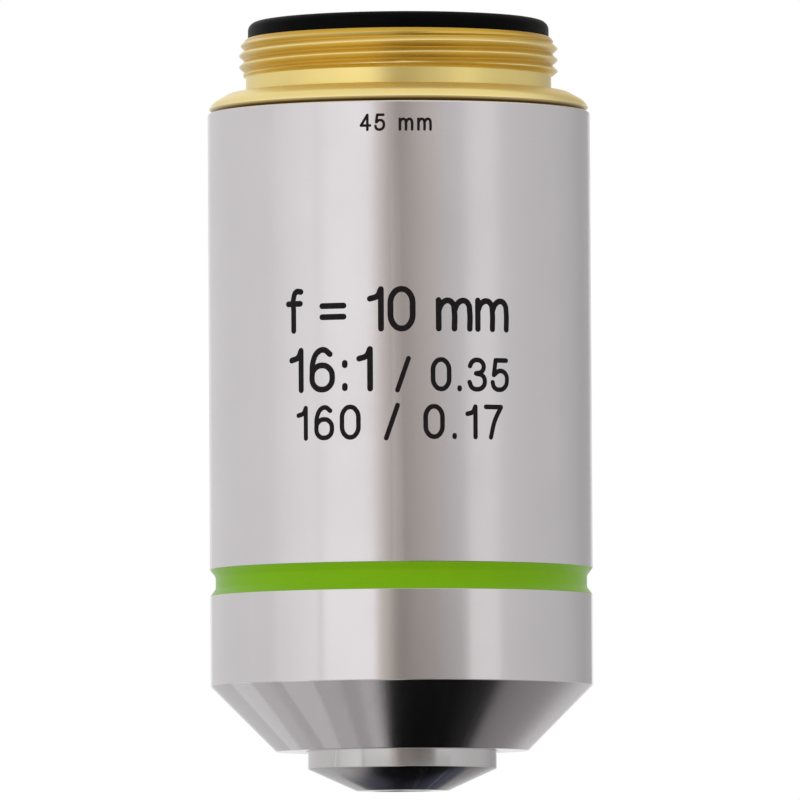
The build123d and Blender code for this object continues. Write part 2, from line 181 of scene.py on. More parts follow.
def helix_form(section, start_z, pitch, turns, steps_per_turn):
    """Sweeps a closed section of (radius, height) points along a right-handed helix, with closed ends."""
    form = bmesh.new()
    corners = [form.verts.new((radius * MM, 0, (start_z + height) * MM)) for radius, height in section]
    start_cap = form.faces.new(corners)
    steps = round(turns * steps_per_turn)
    bmesh.ops.spin(
        form,
        geom=[start_cap],
        axis=AXIS,
        cent=ORIGIN,
        dvec=(0, 0, pitch * turns / steps * MM),
        angle=2 * pi * turns,
        steps=steps,
        use_merge=False,
        use_duplicate=False,
    )
    return form


# Finishes

def finish_named(name, colour, metallic, roughness):
    """A new material with these constants on its shader, and its node tree."""
    finish = bpy.data.materials.new(name)
    finish.use_nodes = True
    tree = finish.node_tree
    shader = tree.nodes["Principled BSDF"]
    shader.inputs["Base Color"].default_value = (*colour, 1)
    shader.inputs["Metallic"].default_value = metallic
    shader.inputs["Roughness"].default_value = roughness
    return finish, tree, shader


def add_node(tree, kind, settings=None, **inputs):
    """A node with its settings, and with each input set or linked. i0 is the first input, i1 the second."""
    node = tree.nodes.new(kind)
    for key, value in (settings or {}).items():
        setattr(node, key, value)
    for key, value in inputs.items():
        numbered = key[0] == "i" and key[1:].isdigit()
        socket = node.inputs[int(key[1:]) if numbered else key.replace("_", " ")]
        if isinstance(value, bpy.types.NodeSocket):
            tree.links.new(value, socket)
        else:
            socket.default_value = value
    return node


def radius_and_height(tree):
    """How far a point of the surface is from the axis, and how high it is, in metres."""
    place = add_node(tree, "ShaderNodeTexCoord").outputs["Object"]
    flat = add_node(tree, "ShaderNodeVectorMath", {"operation": "MULTIPLY"}, i0=place, i1=(1, 1, 0))
    radius = add_node(tree, "ShaderNodeVectorMath", {"operation": "LENGTH"}, i0=flat.outputs[0])
    height = add_node(tree, "ShaderNodeSeparateXYZ", Vector=place)
    return radius.outputs["Value"], height.outputs["Z"]


def turning_marks(tree, per_metre):
    """Grooves that run round the axis, as a height of 0 to 1 from noise over the radius and the height."""
    radius, height = radius_and_height(tree)
    over = add_node(tree, "ShaderNodeCombineXYZ", X=radius, Y=height)
    grooves = add_node(tree, "ShaderNodeTexNoise", Vector=over.outputs[0], Scale=per_metre, Detail=3.0)
    return grooves.outputs[0]


def clouds(tree, per_metre, detail=3.0):
    """Soft patches in the part's own frame, from 0 to 1."""
    place = add_node(tree, "ShaderNodeTexCoord").outputs["Object"]
    return add_node(tree, "ShaderNodeTexNoise", Vector=place, Scale=per_metre, Detail=detail).outputs[0]


def spread(tree, value, low, high, from_low=0.3, from_high=0.7):
    """Maps a pattern onto a range of values."""
    mapped = add_node(tree, "ShaderNodeMapRange", i0=value, i1=from_low, i2=from_high, i3=low, i4=high)
    return mapped.outputs[0]


def blend_colours(tree, share, first, second):
    """Mixes two colours by a pattern."""
    mix = add_node(tree, "ShaderNodeMix", {"data_type": "RGBA"}, i0=share)
    for socket, colour in ((mix.inputs[6], first), (mix.inputs[7], second)):
        if isinstance(colour, bpy.types.NodeSocket):
            tree.links.new(colour, socket)
        else:
            socket.default_value = (*colour, 1)
    return mix.outputs[2]


def bump(tree, shader, height, distance, strength=1.0):
    """Lays a height pattern on the surface, with its depth in millimetres."""
    relief = add_node(tree, "ShaderNodeBump", Height=height, Distance=distance * MM, Strength=strength)
    tree.links.new(relief.outputs["Normal"], shader.inputs["Normal"])


def edge_wear(tree, start=0.52, end=0.6):
    """1 along the sharp outer edges, where handling rubs the finish bright, and 0 elsewhere."""
    bent = add_node(tree, "ShaderNodeNewGeometry").outputs["Pointiness"]
    return spread(tree, bent, 0.0, 1.0, start, end)


# Patches in the polish of bright metal: how many to a metre, their tone and how strongly they show
PATCHES_PER_METRE = 180
PATCH_TONE = 0.9
PATCH_SHARE = 0.35

# A quarter of a full turn, which sets the direction in which highlights are drawn out
QUARTER_TURN = 0.25


def turned_metal(
    name, colour, worn_colour, roughness, roughness_spread, grooves_per_metre, groove_depth, stretch
):
    """Bright metal with turning marks, a patchy polish, brighter edges and drawn-out highlights."""
    finish, tree, shader = finish_named(name, colour, metallic=1.0, roughness=roughness)
    grooves = turning_marks(tree, grooves_per_metre)
    patches = clouds(tree, PATCHES_PER_METRE)
    patch_colour = tuple(PATCH_TONE * channel for channel in colour)
    tinted = blend_colours(tree, spread(tree, patches, 0.0, PATCH_SHARE), colour, patch_colour)
    worn = blend_colours(tree, edge_wear(tree), tinted, worn_colour)
    tree.links.new(worn, shader.inputs["Base Color"])
    smooth = spread(tree, patches, roughness - roughness_spread, roughness)
    polish = add_node(
        tree, "ShaderNodeMath", {"operation": "MULTIPLY_ADD"}, i0=grooves, i1=roughness_spread, i2=smooth
    )
    tree.links.new(polish.outputs[0], shader.inputs["Roughness"])
    shader.inputs["Anisotropic"].default_value = stretch
    shader.inputs["Anisotropic Rotation"].default_value = QUARTER_TURN
    bump(tree, shader, grooves, groove_depth)
    return finish


satin_sleeve = turned_metal(
    "satin_sleeve", (0.62, 0.592, 0.606), (0.72, 0.69, 0.70), roughness=0.24, roughness_spread=0.04,
    grooves_per_metre=14000, groove_depth=0.0002, stretch=0.5,
)
bright_sleeve = turned_metal(
    "bright_sleeve", (0.61, 0.583, 0.590), (0.74, 0.71, 0.72), roughness=0.16, roughness_spread=0.04,
    grooves_per_metre=12000, groove_depth=0.0002, stretch=0.55,
)
nose_metal = turned_metal(
    "nose_metal", (0.45, 0.435, 0.435), (0.70, 0.68, 0.68), roughness=0.15, roughness_spread=0.04,
    grooves_per_metre=14000, groove_depth=0.0002, stretch=0.5,
)
spring_steel = turned_metal(
    "spring_steel", (0.50, 0.49, 0.47), (0.62, 0.61, 0.60), roughness=0.30, roughness_spread=0.06,
    grooves_per_metre=14000, groove_depth=0.0010, stretch=0.3,
)
screw_steel = turned_metal(
    "screw_steel", (0.40, 0.39, 0.38), (0.60, 0.59, 0.58), roughness=0.34, roughness_spread=0.06,
    grooves_per_metre=14000, groove_depth=0.0010, stretch=0.2,
)

# Painted shade: the thread's roots darken between the first two heights, and the crevice under the flange
# between the others
ROOT_SHADE_START, ROOT_SHADE_END = NECK_TOP + 0.24, NECK_TOP + 0.40
CREVICE_SHADE_FULL, CREVICE_SHADE_START = -1.10, -0.95


def lacquered_brass(name, colour, worn_colour, root_shade_colour, crevice_shade_colour):
    """Turned brass, with painted shade: a deeper tone in the roots of its thread and dark brown in the
    crevice under its flange.
    """
    finish = turned_metal(
        name, colour, worn_colour, roughness=0.32, roughness_spread=0.06,
        grooves_per_metre=11000, groove_depth=0.0010, stretch=0.35,
    )
    tree = finish.node_tree
    shader = tree.nodes["Principled BSDF"]
    turned_colour = shader.inputs["Base Color"].links[0].from_socket
    radius, height = radius_and_height(tree)
    # Painted shade: the roots of the thread take a deeper, darker brass colour
    root = spread(tree, radius, 1.0, 0.0, THREAD_ROOT * MM, THREAD_CREST * MM)
    in_thread = spread(tree, height, 0.0, 1.0, ROOT_SHADE_START * MM, ROOT_SHADE_END * MM)
    root_shade = add_node(tree, "ShaderNodeMath", {"operation": "MULTIPLY"}, i0=root, i1=in_thread)
    threaded = blend_colours(tree, root_shade.outputs[0], turned_colour, root_shade_colour)
    # Painted shade: the crevice under the flange is coloured dark brown
    crevice_shade = spread(tree, height, 1.0, 0.0, CREVICE_SHADE_FULL * MM, CREVICE_SHADE_START * MM)
    tree.links.new(blend_colours(tree, crevice_shade, threaded, crevice_shade_colour), shader.inputs["Base Color"])
    return finish


brass = lacquered_brass(
    "brass",
    colour=(0.82, 0.655, 0.25),
    worn_colour=(0.90, 0.78, 0.45),
    # The groove colour is painted shade in the roots of the thread
    root_shade_colour=(0.60, 0.37, 0.045),
    # The crevice colour is painted shade under the flange
    crevice_shade_colour=(0.22, 0.13, 0.012),
)

GRAIN_PER_METRE = 6000
GRAIN_ROUGHNESS = 0.08


def dark_metal(name, colour, worn_colour, roughness, grooves_per_metre, groove_depth):
    """Black anodised or blackened metal: fine grain, faint turning marks and edges rubbed paler."""
    finish, tree, shader = finish_named(name, colour, metallic=0.0, roughness=roughness)
    grooves = turning_marks(tree, grooves_per_metre)
    grain = clouds(tree, GRAIN_PER_METRE, detail=4.0)
    height = add_node(tree, "ShaderNodeMath", {"operation": "ADD"}, i0=grooves, i1=grain)
    worn = blend_colours(tree, edge_wear(tree, start=0.53, end=0.68), colour, worn_colour)
    tree.links.new(worn, shader.inputs["Base Color"])
    uneven = spread(tree, grain, roughness - GRAIN_ROUGHNESS, roughness + GRAIN_ROUGHNESS)
    tree.links.new(uneven, shader.inputs["Roughness"])
    shader.inputs["Specular IOR Level"].default_value = 0.03
    bump(tree, shader, height.outputs[0], groove_depth)
    return finish


black_anodised = dark_metal(
    "black_anodised", (0.0012, 0.0012, 0.0013), (0.006, 0.006, 0.0065),
    roughness=0.42, grooves_per_metre=7000, groove_depth=0.0015,
)
cell_black = dark_metal(
    "cell_black", (0.012, 0.012, 0.013), (0.05, 0.05, 0.05),
    roughness=0.6, grooves_per_metre=5000, groove_depth=0.004,
)


def enamel(name, colour, deep_colour):
    """Glossy enamel, a little deeper in tone where it lies thick, with a faint orange-peel surface."""
    finish, tree, shader = finish_named(name, colour, metallic=0.0, roughness=0.32)
    thickness = spread(tree, clouds(tree, per_metre=250, detail=2.0), 0.0, 0.6)
    tree.links.new(blend_colours(tree, thickness, colour, deep_colour), shader.inputs["Base Color"])
    shader.inputs["Specular IOR Level"].default_value = 0.06
    shader.inputs["Sheen Weight"].default_value = 0.50
    shader.inputs["Sheen Roughness"].default_value = 0.35
    bump(tree, shader, clouds(tree, per_metre=1400, detail=1.0), 0.004)
    return finish


green_enamel = enamel("green_enamel", (0.205, 0.455, 0.003), (0.185, 0.420, 0.002))


def coated_glass(name, film):
    """Optical glass with a thin coating, whose thickness in nanometres tints the reflection."""
    finish, tree, shader = finish_named(name, (0.985, 0.99, 0.985), metallic=0.0, roughness=0.0)
    shader.inputs["Transmission Weight"].default_value = 1.0
    shader.inputs["IOR"].default_value = 1.62
    shader.inputs["Thin Film Thickness"].default_value = film
    shader.inputs["Thin Film IOR"].default_value = 1.38
    smears = clouds(tree, per_metre=320, detail=4.0)
    tree.links.new(spread(tree, smears, 0.0, 0.035, from_low=0.5, from_high=0.8), shader.inputs["Roughness"])
    return finish


lens_glass = coated_glass("lens_glass", film=105)


def ink(name):
    """Black filling of the engraved figures, slightly uneven."""
    finish, tree, shader = finish_named(name, (0.010, 0.008, 0.010), metallic=0.0, roughness=0.5)
    uneven = clouds(tree, per_metre=4000)
    tone = blend_colours(tree, uneven, (0.006, 0.005, 0.006), (0.020, 0.017, 0.019))
    tree.links.new(tone, shader.inputs["Base Color"])
    tree.links.new(spread(tree, uneven, 0.42, 0.62), shader.inputs["Roughness"])
    shader.inputs["Specular IOR Level"].default_value = 0.05
    bump(tree, shader, uneven, 0.002)
    return finish


figure_ink = ink("figure_ink")


def dress(piece, finish, body, slot, *replaced):
    """Gives a piece its finish and its body, and hides the nodes that it stands for. Its slot is not used."""
    piece.data.materials.clear()
    piece.data.materials.append(finish)
    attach(piece, body)
    if replaced:
        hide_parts(*replaced)


# Brass barrel with its mounting thread

RUN_OUT_Z = 1.02
RUN_OUT_RISE = 0.13
FLANGE_ROUND = 1.00
RIM_CENTRE_RADIUS, RIM_CENTRE_Z = 10.95, -1.282
RIM_ANGLES = (61, 53, 45, 37, 29, 20.6)
SLOPE_START = (10.70, 0.0)
LIP_END = (11.586, -1.22)
rim_angles = [radians(angle) for angle in RIM_ANGLES]
rim_points = [
    (RIM_CENTRE_RADIUS + FLANGE_ROUND * cos(a), RIM_CENTRE_Z + FLANGE_ROUND * sin(a)) for a in rim_angles
]
barrel_outline = [
    (SPRING_BORE, BARREL_TOP),
    (LEAD_IN_RADIUS, BARREL_TOP),
    (THREAD_ROOT, LEAD_IN_END),
    (THREAD_ROOT, RUN_OUT_Z + RUN_OUT_RISE),
    (NECK_RADIUS, RUN_OUT_Z),
    (NECK_RADIUS, UNDERCUT_Z),
    (SHOULDER_RADIUS, UNDERCUT_Z),
    (SHOULDER_RADIUS, 0.0),
    SLOPE_START,
    *rim_points,
    LIP_END,
    (SPIGOT_RADIUS, SLEEVE_TOP),
    (SPIGOT_RADIUS, SPIGOT_END),
    (WAIST_RADIUS, SPIGOT_END),
    (WAIST_RADIUS, COLLAR_TOP),
    (SPIGOT_RADIUS, COLLAR_TOP),
    (SPIGOT_RADIUS, COLLAR_BOTTOM),
    (FRONT_THREAD_RADIUS, COLLAR_BOTTOM),
    (FRONT_THREAD_RADIUS, FRONT_THREAD_END),
    (FRONT_THREAD_END_RADIUS, BARREL_END),
    (GUIDE_BORE, BARREL_END),
    (GUIDE_BORE, STOP_Z),
    (SPRING_BORE, STOP_Z),
]
barrel_form = turned_form(
    barrel_outline, [((SHOULDER_RADIUS, 0.0), SHOULDER_EDGE), (SLOPE_START, SLOPE_EDGE)]
)

# A 55 degree thread with rounded crests, cut back by the lead-in at the top and run out at the neck
THREAD_PITCH = 0.7055
THREAD_TURNS = 4.6
THREAD_START_Z = NECK_TOP - 0.20
THREAD_BASE = 9.50
CREST_SECTION = [
    (9.55, -0.352), (9.685, -0.352), (9.70, -0.305), (9.75, -0.245), (9.89, -0.115), (9.97, -0.050),
    (THREAD_CREST, 0.0), (9.97, 0.050), (9.89, 0.115), (9.75, 0.245), (9.70, 0.305), (9.685, 0.352),
    (9.55, 0.352),
]
LEAD_IN_Z = 2.98
LEAD_IN_SLOPE = 1.0
RUN_OUT_SLOPE = 1.6
RUN_OUT_SINK = 0.05
END_MARGIN = 0.01
thread_form = helix_form(CREST_SECTION, THREAD_START_Z, THREAD_PITCH, THREAD_TURNS, THREAD_STEPS)
for corner in thread_form.verts:
    radius, height = hypot(corner.co.x, corner.co.y) / MM, corner.co.z / MM
    lead_in = THREAD_CREST - LEAD_IN_SLOPE * max(0.0, height - LEAD_IN_Z)
    run_out = NECK_RADIUS - RUN_OUT_SINK + RUN_OUT_SLOPE * max(0.0, height - RUN_OUT_Z)
    allowed = max(THREAD_BASE, min(radius, lead_in, run_out))
    corner.co.x *= allowed / radius
    corner.co.y *= allowed / radius
    corner.co.z = min(max(height, RUN_OUT_Z + END_MARGIN), BARREL_TOP - END_MARGIN) * MM
thread_mesh = bpy.data.meshes.new("thread")
thread_form.to_mesh(thread_mesh)
thread_form.free()
barrel_form.from_mesh(thread_mesh)
threaded_barrel = piece_from(barrel_form, "threaded_barrel", sharp_from=28)
even_normals(threaded_barrel)
dress(threaded_barrel, brass, "mount", "brass", "mount_barrel")

# Sleeves, colour ring and nose

upper_sleeve = turned(
    "upper_sleeve",
    [
        (SLEEVE_BORE, SLEEVE_TOP),
        (SKIN_RADIUS, SLEEVE_TOP),
        (SKIN_RADIUS, SLEEVE_BOTTOM),
        (SLEEVE_BORE, SLEEVE_BOTTOM),
    ],
    [((SKIN_RADIUS, SLEEVE_TOP), SLEEVE_EDGE), ((SKIN_RADIUS, SLEEVE_BOTTOM), FINE_EDGE)],
)
dress(upper_sleeve, satin_sleeve, "mount", "satin_nickel", "barrel_sleeve")

groove_top = (GROOVE_RADIUS, SLEEVE_BOTTOM - GROOVE_WALL)
groove_bottom = (GROOVE_RADIUS, RING_BOTTOM + GROOVE_WALL)
enamel_ring = turned(
    "enamel_ring",
    [
        (FRONT_BORE, SLEEVE_BOTTOM),
        (SKIN_RADIUS - RING_STEP, SLEEVE_BOTTOM),
        groove_top,
        groove_bottom,
        (SKIN_RADIUS - RING_STEP, RING_BOTTOM),
        (FRONT_BORE, RING_BOTTOM),
    ],
    [(groove_top, GROOVE_EDGE), (groove_bottom, GROOVE_EDGE)],
)
dress(enamel_ring, green_enamel, "mount", "green_enamel", "colour_ring")

cone_sleeve = turned(
    "cone_sleeve",
    [
        (FRONT_BORE, RING_BOTTOM),
        (SKIN_RADIUS, RING_BOTTOM),
        (SKIN_RADIUS, CONE_TOP),
        (CONE_END_RADIUS, CONE_END),
        (NOSE_HOLE, CONE_END),
        (NOSE_HOLE, CONE_END + FRONT_PLATE),
        (CONE_BORE, CONE_END + FRONT_PLATE),
        (FRONT_BORE, FRONT_BORE_END),
    ],
    [
        ((SKIN_RADIUS, RING_BOTTOM), FINE_EDGE),
        ((SKIN_RADIUS, CONE_TOP), CORNER_EDGE),
        ((CONE_END_RADIUS, CONE_END), CORNER_EDGE),
        ((NOSE_HOLE, CONE_END), FINE_EDGE),
    ],
)
dress(cone_sleeve, bright_sleeve, "mount", "satin_nickel", "front_sleeve")

nose = turned(
    "nose",
    [
        (FRONT_OPENING, TIP),
        (TIP_RADIUS, TIP),
        (NOSE_RADIUS, NOSE_CORNER),
        (NOSE_RADIUS, NOSE_SHOULDER - FACE_GAP),
        (STEM_RADIUS, NOSE_SHOULDER - FACE_GAP),
        (STEM_RADIUS, STEM_TOP),
        (SECOND_CELL_BORE, STEM_TOP),
        (SECOND_CELL_BORE, SECOND_CELL_SEAT),
        (FRONT_LENS_BORE, SECOND_CELL_SEAT),
        (FRONT_LENS_BORE, FRONT_LIP_TOP),
        (FRONT_OPENING, FRONT_LIP_TOP),
    ],
    [
        ((FRONT_OPENING, TIP), CORNER_EDGE),
        ((TIP_RADIUS, TIP), CORNER_EDGE),
        ((NOSE_RADIUS, NOSE_CORNER), FINE_EDGE),
    ],
)
dress(nose, nose_metal, "lens_unit", "nose_metal", "front_cell")

# Return spring

SPRING_BOTTOM, SPRING_TOP = -10.46, -0.12
SPRING_TURNS = 6
SPRING_INSIDE, SPRING_OUTSIDE = 7.70, 8.60
HALF_WIRE = 0.30
spring_pitch = (SPRING_TOP - SPRING_BOTTOM) / SPRING_TURNS
wire_section = [
    (SPRING_INSIDE, -HALF_WIRE),
    (SPRING_OUTSIDE, -HALF_WIRE),
    (SPRING_OUTSIDE, HALF_WIRE),
    (SPRING_INSIDE, HALF_WIRE),
]
spring_form = helix_form(
    wire_section, SPRING_BOTTOM - spring_pitch / 2, spring_pitch, SPRING_TURNS + 1, SPRING_STEPS
)
for level, outwards in ((SPRING_BOTTOM, (0, 0, -1)), (SPRING_TOP, (0, 0, 1))):
    bmesh.ops.bisect_plane(
        spring_form,
        geom=spring_form.verts[:] + spring_form.edges[:] + spring_form.faces[:],
        plane_co=(0, 0, level * MM),
        plane_no=outwards,
        clear_outer=True,
    )
    ground = [edge for edge in spring_form.edges if edge.is_boundary]
    bmesh.ops.holes_fill(spring_form, edges=ground, sides=0)
coil_spring = piece_from(spring_form, "coil_spring")
dress(coil_spring, spring_steel, "mount", "spring_steel", "return_spring")
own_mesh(coil_spring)

# CAD nodes that keep their shape

NODE_FINISHES = {
    "rear_ring": black_anodised,
    "lens_tube": black_anodised,
    "guide_screw": screw_steel,
    **{name: cell_black for name in (
        "second_cell", "third_cell", "fourth_cell", "fifth_cell", "rear_cell",
        "spacer_one", "spacer_two", "spacer_three", "aperture_stop", "lock_ring",
    )},
    **{name: lens_glass for name in (
        "front_lens", "second_lens", "third_crown", "third_flint", "fourth_flint", "fourth_crown",
        "fifth_crown", "fifth_flint", "rear_lens",
    )},
}
for node_name, node_finish in NODE_FINISHES.items():
    node = nodes[node_name]
    node.data.materials.clear()
    node.data.materials.append(node_finish)
    node.data.polygons.foreach_set("use_smooth", [True] * len(node.data.polygons))
    weld = node.modifiers.new("join_triangles", "WELD")
    weld.merge_threshold = 1e-7
    split = node.modifiers.new("keep_corners", "EDGE_SPLIT")
    split.split_angle = radians(30)
    even_normals(node)

# Figures on the sleeve

# Each figure is a width and its pen strokes, in heights of a full figure. A stroke is a smooth line through a
# few points, closed where it ends on its first point. At a sharp corner one stroke ends and the next starts.
FIGURES = {
    " ": (0.32, []),
    "0": (0.64, [
        [(0.32, 1.0), (0.53, 0.88), (0.60, 0.5), (0.53, 0.12), (0.32, 0.0), (0.11, 0.12), (0.04, 0.5),
         (0.11, 0.88), (0.32, 1.0)],
    ]),
    "1": (0.44, [
        [(0.36, 0.0), (0.36, 1.0)],
        [(0.36, 1.0), (0.27, 0.83), (0.08, 0.76)],
    ]),
    "3": (0.64, [
        [(0.05, 0.79), (0.14, 0.94), (0.32, 1.0), (0.50, 0.92), (0.56, 0.76), (0.48, 0.60), (0.27, 0.54)],
        [(0.27, 0.54), (0.52, 0.46), (0.60, 0.28), (0.52, 0.08), (0.31, 0.0), (0.12, 0.06), (0.03, 0.24)],
    ]),
    "4": (0.66, [
        [(0.47, 0.0), (0.47, 1.0)],
        [(0.47, 1.0), (0.03, 0.29)],
        [(0.03, 0.29), (0.65, 0.29)],
    ]),
    "5": (0.64, [
        [(0.57, 1.0), (0.15, 1.0)],
        [(0.15, 1.0), (0.08, 0.50)],
        [(0.08, 0.50), (0.30, 0.64), (0.53, 0.56), (0.60, 0.32), (0.51, 0.09), (0.29, 0.0), (0.09, 0.08),
         (0.03, 0.25)],
    ]),
    "6": (0.64, [
        [(0.32, 0.61), (0.53, 0.52), (0.60, 0.31), (0.53, 0.09), (0.32, 0.0), (0.11, 0.09), (0.04, 0.31),
         (0.11, 0.52), (0.32, 0.61)],
        [(0.04, 0.31), (0.08, 0.74), (0.22, 0.96), (0.38, 1.0), (0.54, 0.89)],
    ]),
    "7": (0.62, [
        [(0.03, 1.0), (0.60, 1.0)],
        [(0.60, 1.0), (0.36, 0.55), (0.21, 0.0)],
    ]),
    ":": (0.20, [[(0.10, 0.02), (0.10, 0.08)], [(0.10, 0.60), (0.10, 0.66)]]),
    ".": (0.20, [[(0.10, 0.0), (0.10, 0.05)]]),
    "/": (0.42, [[(0.02, -0.04), (0.40, 1.04)]]),
    "=": (0.66, [[(0.04, 0.32), (0.62, 0.32)], [(0.04, 0.60), (0.62, 0.60)]]),
    "f": (0.40, [
        [(0.40, 0.98), (0.26, 0.98), (0.18, 0.82), (0.18, 0.50), (0.18, 0.0)],
        [(0.02, 0.68), (0.38, 0.68)],
    ]),
    "m": (0.92, [
        [(0.06, 0.72), (0.06, 0.0)],
        [(0.06, 0.46), (0.16, 0.65), (0.31, 0.71), (0.43, 0.63), (0.47, 0.43), (0.47, 0.0)],
        [(0.47, 0.46), (0.57, 0.65), (0.72, 0.71), (0.84, 0.63), (0.88, 0.43), (0.88, 0.0)],
    ]),
}
FILLING_DEPTH = 0.007
CUT_STEP = 0.25


def add_stroke(pen, points):
    """Adds one pen stroke to a curve, smooth through its points and closed if it ends on its first one."""
    closed = points[0] == points[-1]
    knots = points[:-1] if closed else points
    spline = pen.splines.new("BEZIER")
    spline.bezier_points.add(len(knots) - 1)
    spline.use_cyclic_u = closed
    for knot, place in zip(spline.bezier_points, knots):
        knot.co = place
        knot.handle_left_type = knot.handle_right_type = "AUTO"


def figures(name, words, from_angle, to_angle, base_z, height, stroke_width):
    """Engraved figures filled with ink, wrapped round the sleeve between two angles from its front."""
    start, end = radians(from_angle) * BODY_RADIUS, radians(to_angle) * BODY_RADIUS
    widths = [FIGURES[letter][0] * height for letter in words]
    gap = (end - start - sum(widths)) / (len(words) - 1)
    pen_radius = stroke_width / 2
    pen = bpy.data.curves.new(name + "_pen", "CURVE")
    pen.dimensions = "3D"
    pen.resolution_u = 8
    pen.bevel_depth = pen_radius
    pen.bevel_resolution = 2
    pen.use_fill_caps = True
    stroke_ends = []
    left = start
    for letter, width in zip(words, widths):
        for stroke in FIGURES[letter][1]:
            points = [(left + across * height, base_z + up * height, 0) for across, up in stroke]
            add_stroke(pen, points)
            stroke_ends += [points[0], points[-1]]
        left += width + gap
    flat = bpy.data.objects.new(name + "_pen", pen)
    bpy.context.scene.collection.objects.link(flat)
    bpy.context.view_layer.update()
    form = bmesh.new()
    form.from_mesh(bpy.data.meshes.new_from_object(flat))
    bpy.data.objects.remove(flat)
    for place in set(stroke_ends):
        bmesh.ops.create_uvsphere(
            form, u_segments=16, v_segments=8, radius=pen_radius, matrix=Matrix.Translation(place)
        )
    cuts = round((end - start) / CUT_STEP)
    for i in range(cuts + 1):
        bmesh.ops.bisect_plane(
            form,
            geom=form.verts[:] + form.edges[:] + form.faces[:],
            plane_co=(start + (end - start) * i / cuts, 0, 0),
            plane_no=(1, 0, 0),
        )
    for corner in form.verts:
        radius = SKIN_RADIUS + FILLING_DEPTH * corner.co.z / pen_radius
        angle = corner.co.x / BODY_RADIUS
        corner.co = (radius * sin(angle) * MM, -radius * cos(angle) * MM, corner.co.y * MM)
    piece = piece_from(form, name, sharp_from=50)
    dress(piece, figure_ink, "mount", "satin_nickel")


figures("focal_length", "f = 10 mm", -35.4, 33.8, base_z=-15.40, height=2.45, stroke_width=0.37)
figures("scale_figures", "16:1", -35.0, -8.0, base_z=-19.10, height=2.45, stroke_width=0.37)
figures("aperture_figures", "/ 0.35", -1.0, 33.8, base_z=-19.14, height=1.82, stroke_width=0.30)
figures("glass_figures", "160 / 0.17", -32.5, 31.5, base_z=-22.10, height=1.88, stroke_width=0.30)
figures("reach_figures", "45 mm", -11.4, 9.6, base_z=-3.06, height=0.92, stroke_width=0.17)

# Camera, with its angles in degrees

VIEW_HEIGHT = -19.2
CAMERA_DISTANCE = 884.0
LOOK_UP = 3.0
ROLL = -0.33
FOCAL = 635.6
AIM_X = -0.022

camera_data = bpy.data.cameras.new("camera")
camera_data.sensor_width = 36
camera_data.lens = FOCAL
camera = bpy.data.objects.new("camera", camera_data)
bpy.context.scene.collection.objects.link(camera)
aim = Vector((AIM_X, 0, VIEW_HEIGHT)) * MM
camera.location = aim + Vector((0, -CAMERA_DISTANCE, -CAMERA_DISTANCE * tan(radians(LOOK_UP)))) * MM
look = (aim - camera.location).to_track_quat("-Z", "Y").to_matrix().to_4x4()
camera.matrix_world = (
    Matrix.Translation(camera.location) @ look @ Matrix.Rotation(radians(ROLL), 4, "Z")
)
bpy.context.scene.camera = camera

# Studio, in metres

DAYLIGHT = 0.78
FLOOR_Z = -0.45
FLOOR_SIZE = 8.0
world = bpy.data.worlds.new("studio")
world.use_nodes = True
bpy.context.scene.world = world
sky = world.node_tree
background = sky.nodes["Background"]
background.inputs["Color"].default_value = (1, 1, 1, 1)
seen = add_node(sky, "ShaderNodeLightPath")
seen_or_mirrored = add_node(
    sky, "ShaderNodeMath", {"operation": "MAXIMUM"},
    i0=seen.outputs["Is Camera Ray"], i1=seen.outputs["Is Glossy Ray"],
)
white_rays = add_node(
    sky, "ShaderNodeMath", {"operation": "MAXIMUM"},
    i0=seen_or_mirrored.outputs[0], i1=seen.outputs["Is Transmission Ray"],
)
sky.links.new(spread(sky, white_rays.outputs[0], DAYLIGHT, 1.0, 0.0, 1.0), background.inputs["Strength"])


def stage_sheet(name, width, length, place):
    """A flat sheet of the studio, centred on its own origin and carried to its place."""
    form = bmesh.new()
    bmesh.ops.create_grid(form, x_segments=1, y_segments=1, size=0.5)
    bmesh.ops.scale(form, vec=(width, length, 1), verts=form.verts)
    mesh = bpy.data.meshes.new(name)
    form.to_mesh(mesh)
    form.free()
    sheet = bpy.data.objects.new(name, mesh)
    bpy.context.scene.collection.objects.link(sheet)
    sheet.matrix_world = place
    return sheet


floor = stage_sheet("floor", FLOOR_SIZE, FLOOR_SIZE, Matrix.Translation((0, 0, FLOOR_Z)))
floor_finish, floor_tree, floor_shader = finish_named(
    "pale_floor", (0.82, 0.82, 0.82), metallic=0.0, roughness=0.9
)
floor_tree.links.new(
    blend_colours(floor_tree, clouds(floor_tree, 3.0), (0.80, 0.80, 0.80), (0.84, 0.84, 0.84)),
    floor_shader.inputs["Base Color"],
)
floor.data.materials.append(floor_finish)


